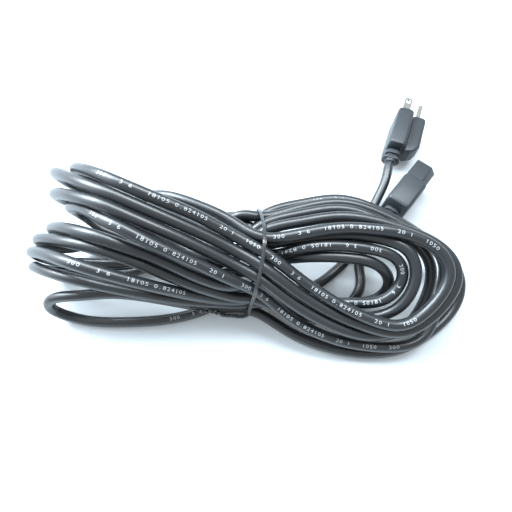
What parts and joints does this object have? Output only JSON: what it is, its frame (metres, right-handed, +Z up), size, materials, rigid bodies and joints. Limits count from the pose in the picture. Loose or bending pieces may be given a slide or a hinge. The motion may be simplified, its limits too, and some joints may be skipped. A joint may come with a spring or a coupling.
{
  "type": "power cord",
  "caption": "Detachable mains power cord: moulded plug with flat blades and a round earth pin, round cord wound into a tied hank, and a moulded appliance connector",
  "frame": {"origin": "middle of the bounding box, on the surface that the cord lies on", "axes": "+X along the hank from the fan of turn ends to the round end with the eye, +Y to the back where the plug and the connector lie, +Z up"},
  "size_m": [0.2946, 0.2113, 0.085],
  "materials": {
    "moulding": "satin moulded black PVC",
    "jacket": "satin black PVC jacket",
    "carrier": "plain moulded nylon",
    "insert": "matte moulded",
    "plated": "bright nickel plate over brass",
    "contact": "plain spring brass",
    "black_core": "glossy insulation",
    "white_core": "glossy insulation",
    "green_core": "glossy insulation",
    "copper": "bare copper strands",
    "tie_film": "satin black film",
    "tie_wire": "plain steel wire"
  },
  "bodies": {
    "root": {"plug_overmould": "moulding", "pin_carrier": "carrier", "line_blade": "plated", "neutral_blade": "plated", "earth_pin": "plated", "plug_line_core": "black_core", "plug_neutral_core": "white_core", "plug_earth_core": "green_core", "plug_line_strands": "copper", "plug_neutral_strands": "copper", "plug_earth_strands": "copper", "connector_overmould": "moulding", "connector_insert": "insert", "line_contact": "contact", "neutral_contact": "contact", "earth_contact": "contact", "connector_line_core": "black_core", "connector_neutral_core": "white_core", "connector_earth_core": "green_core", "connector_line_strands": "copper", "connector_neutral_strands": "copper", "connector_earth_strands": "copper", "cord_hank": "jacket", "plug_tail": "jacket", "connector_tail": "jacket", "tie_ribbon": "tie_film", "tie_wire": "tie_wire"}
  },
  "joints": []
}
